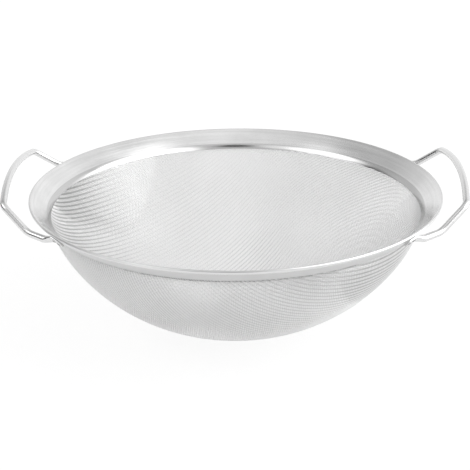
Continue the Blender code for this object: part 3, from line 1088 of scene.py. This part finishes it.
    def drawn_wire(self, name: str) -> Piece:
        """Models the right handle's wire by pulling its outline from station to station.

        Args:
            name: Name of the piece.

        Returns:
            The wire, closed and smooth.
        """
        rings = self.stations()
        nothing_selected()
        bpy.ops.mesh.primitive_circle_add(vertices=self.sides, radius=self.wire_radius, fill_type="NOTHING")
        wire = named(name)
        put(wire, rings[0])
        edit_mode("SELECT", "EDGE")
        for before, after in zip(rings, rings[1:]):
            step = Vector(after.mean(axis=0) - before.mean(axis=0))
            bpy.ops.mesh.extrude_edges_move(TRANSFORM_OT_translate={"value": step})
        object_mode()
        put(wire, np.concatenate(rings))
        edit_mode()
        bpy.ops.mesh.fill_holes(sides=self.sides)
        object_mode()
        bevelled(wire, self.end_bevel, self.end_bevel_faces)
        close_and_smooth(wire)
        return wire

    def weld_spot(self, name: str, side_y: int, from_end: float) -> Piece:
        """Models the round mark that the welding electrode leaves on the back of a tab.

        Args:
            name: Name of the piece.
            side_y: 1 for the rear leg, -1 for the front one.
            from_end: Distance of the mark's middle from the tab's end.

        Returns:
            The mark, a low button with a round edge, half sunk in the tab.
        """
        point, normal, along = self.tab(side_y)
        middle = point + along * from_end + normal * (self.tab_thickness / 2)
        nothing_selected()
        bpy.ops.mesh.primitive_cylinder_add(
            vertices=self.weld_sides,
            radius=self.weld_radius,
            depth=2 * self.weld_height,
            location=middle,
            rotation=normal.to_track_quat("Z", "Y").to_euler(),
        )
        spot = named(name)
        place_in_mesh(spot)
        bevelled(spot, self.weld_height, self.weld_edge_faces)
        close_and_smooth(spot)
        return spot

    def mirrored(self, piece: Piece, name: str) -> Piece:
        """Copies a piece of the right handle to the left one.

        Args:
            piece: Piece to copy.
            name: Name of the copy.

        Returns:
            The copy.
        """
        copy = piece.copy()
        copy.data = piece.data.copy()
        copy.name = copy.data.name = name
        bpy.context.collection.objects.link(copy)
        put(copy, places(copy) * np.array([-1.0, 1.0, 1.0]))
        close_and_smooth(copy)
        return copy

    def build(self) -> None:
        """Models one handle with its weld spots, copies it mirrored, and sets both in place."""
        pieces = [(self.drawn_wire("right_handle_wire"), Finish.HANDLE_WIRE)]
        for side_y, leg in ((-1, "front"), (1, "rear")):
            for number, from_end in enumerate(self.weld_places, 1):
                spot = self.weld_spot(f"right_weld_{leg}_{number}", side_y, from_end)
                pieces.append((spot, Finish.WELD_SPOT))
        for right, finish in pieces:
            left = self.mirrored(right, right.name.replace("right", "left"))
            hand_over(right, "right_handle", finish)
            hand_over(left, "left_handle", finish)


# Studio


@dataclass(frozen=True)
class Glow:
    """A soft patch of the surroundings that is lighter or darker than the rest.

    Azimuth 0 is towards +X and 90 degrees towards +Y. The change in strength is full inside
    the inner angle and fades out at the outer one. Angles in degrees.
    """

    azimuth: float
    elevation: float
    inner: float
    outer: float
    change: float

    @property
    def way(self) -> tuple[float, float, float]:
        """Direction of the patch's middle."""
        around, up = math.radians(self.azimuth), math.radians(self.elevation)
        return math.cos(around) * math.cos(up), math.sin(around) * math.cos(up), math.sin(up)


@dataclass
class Studio:
    """Pale floor, soft light all round and the camera."""

    section: RimSection
    floor_size: float = 12.0
    floor_colour: str = "#F2F2F2"
    floor_glow: float = 1.06
    floor_glow_share: float = 0.8
    base_strength: float = 0.72
    glows: tuple[Glow, ...] = (
        Glow(75, 14, 22, 50, 0.28),
        Glow(3, 2, 18, 42, 1.25),
        Glow(-2, 22, 10, 30, 1.50),
        Glow(-107, 80, 5, 22, 0.12),
        Glow(-175, 2, 20, 44, -0.70),
        Glow(145, 46, 6, 24, -0.20),
        Glow(95, 48, 10, 26, -0.35),
        Glow(16, 56, 8, 30, 0.13),
        Glow(-29, 76, 4, 18, 0.10),
        Glow(-22, 34, 26, 35, 1.40),
        Glow(-160, 46, 8, 22, 1.20),
        Glow(-178, 39, 5, 16, 1.10),
        Glow(-130, 55, 3, 15, 0.50),
        Glow(-89, 59, 4, 11, -0.68),
        Glow(-90, 8, 12, 36, -0.50),
        Glow(25, 33, 1.5, 5, -0.60),
    )
    camera_distance: float = 0.870
    camera_elevation: float = math.radians(19.92)
    camera_yaw: float = math.radians(1.217)
    camera_roll: float = math.radians(-0.58)
    lens: float = 90.97
    sensor_width: float = 36.0
    clip: tuple[float, float] = (0.01, 20.0)
    shift: tuple[float, float] = (-0.0013, -0.0995)

    def light(self) -> None:
        """Sets the surroundings: white for the camera, soft light patches for the strainer."""
        world = bpy.data.worlds.new("studio")
        bpy.context.scene.world = world
        world.use_nodes = True
        tree = world.node_tree
        background = tree.nodes["Background"]
        way = add_node(tree, "TexCoord").outputs["Generated"]
        level: bpy.types.NodeSocket | float = self.base_strength
        for glow in self.glows:
            near = add_node(tree, "VectorMath", {0: way, 1: glow.way}, operation="DOT_PRODUCT")
            outer, inner = math.cos(math.radians(glow.outer)), math.cos(math.radians(glow.inner))
            rise = {"Value": near.outputs["Value"], "From Min": outer, "From Max": inner}
            rise |= {"To Min": 0.0, "To Max": glow.change}
            share = add_node(tree, "MapRange", rise, interpolation_type="SMOOTHSTEP")
            level = add_node(tree, "Math", {0: level, 1: share}, operation="ADD").outputs[0]
        seen = add_node(tree, "LightPath").outputs["Is Camera Ray"]
        strength = add_node(tree, "Mix", {0: seen, 2: level, 3: 1.0}, data_type="FLOAT")
        background.inputs["Color"].default_value = (1.0, 1.0, 1.0, 1.0)
        tree.links.new(strength.outputs[0], background.inputs["Strength"])

    def floor(self) -> None:
        """Lays the floor, which shows white apart from the strainer's soft shadow."""
        nothing_selected()
        bpy.ops.mesh.primitive_plane_add(size=self.floor_size, location=(0.0, 0.0, 0.0))
        floor = named("studio_floor")
        material = bpy.data.materials.new("white_studio_paper")
        material.use_nodes = True
        tree = material.node_tree
        tree.nodes.clear()
        paper = add_node(tree, "BsdfDiffuse", {"Color": linear(self.floor_colour)})
        white = add_node(tree, "Emission", {"Strength": self.floor_glow})
        rays = add_node(tree, "LightPath")
        kinds = {0: rays.outputs["Is Camera Ray"], 1: rays.outputs["Is Glossy Ray"]}
        seen = add_node(tree, "Math", kinds, operation="MAXIMUM")
        share = add_node(tree, "Math", {0: seen, 1: self.floor_glow_share}, operation="MULTIPLY")
        both = add_node(tree, "MixShader", {0: share, 1: paper, 2: white})
        add_node(tree, "OutputMaterial", {0: both})
        floor.data.materials.append(material)

    def camera(self) -> None:
        """Sets the camera at the photograph's angle, aimed at the middle of the mouth."""
        middle = Vector((0.0, 0.0, self.section.rim_height))
        away, rise, yaw = self.camera_distance, self.camera_elevation, self.camera_yaw
        level = away * math.cos(rise)
        eye = middle + Vector((level * math.sin(yaw), -level * math.cos(yaw), away * math.sin(rise)))
        data = bpy.data.cameras.new("studio_camera")
        data.lens = self.lens
        data.sensor_width = self.sensor_width
        data.shift_x, data.shift_y = self.shift
        data.clip_start, data.clip_end = self.clip
        camera = bpy.data.objects.new("studio_camera", data)
        bpy.context.scene.collection.objects.link(camera)
        aim = (middle - eye).to_track_quat("-Z", "Y").to_matrix()
        turn = aim @ Matrix.Rotation(self.camera_roll, 3, "Z")
        camera.matrix_world = Matrix.Translation(eye) @ turn.to_4x4()
        bpy.context.scene.camera = camera

    def build(self) -> None:
        """Builds the studio round the strainer."""
        bpy.context.scene.view_settings.view_transform = "Standard"
        self.light()
        self.floor()
        self.camera()
        log.info("studio: floor, surroundings and camera")


def main() -> None:
    """Builds the strainer and its studio."""
    logging.basicConfig(level=logging.INFO, format="%(name)s: %(message)s")
    section = RimSection()
    RimFlange(section).build()
    BackingRing(section).build()
    WovenBowl(section).build()
    WireHandle(section).build()
    Studio(section).build()


if __name__ == "__main__":
    main()
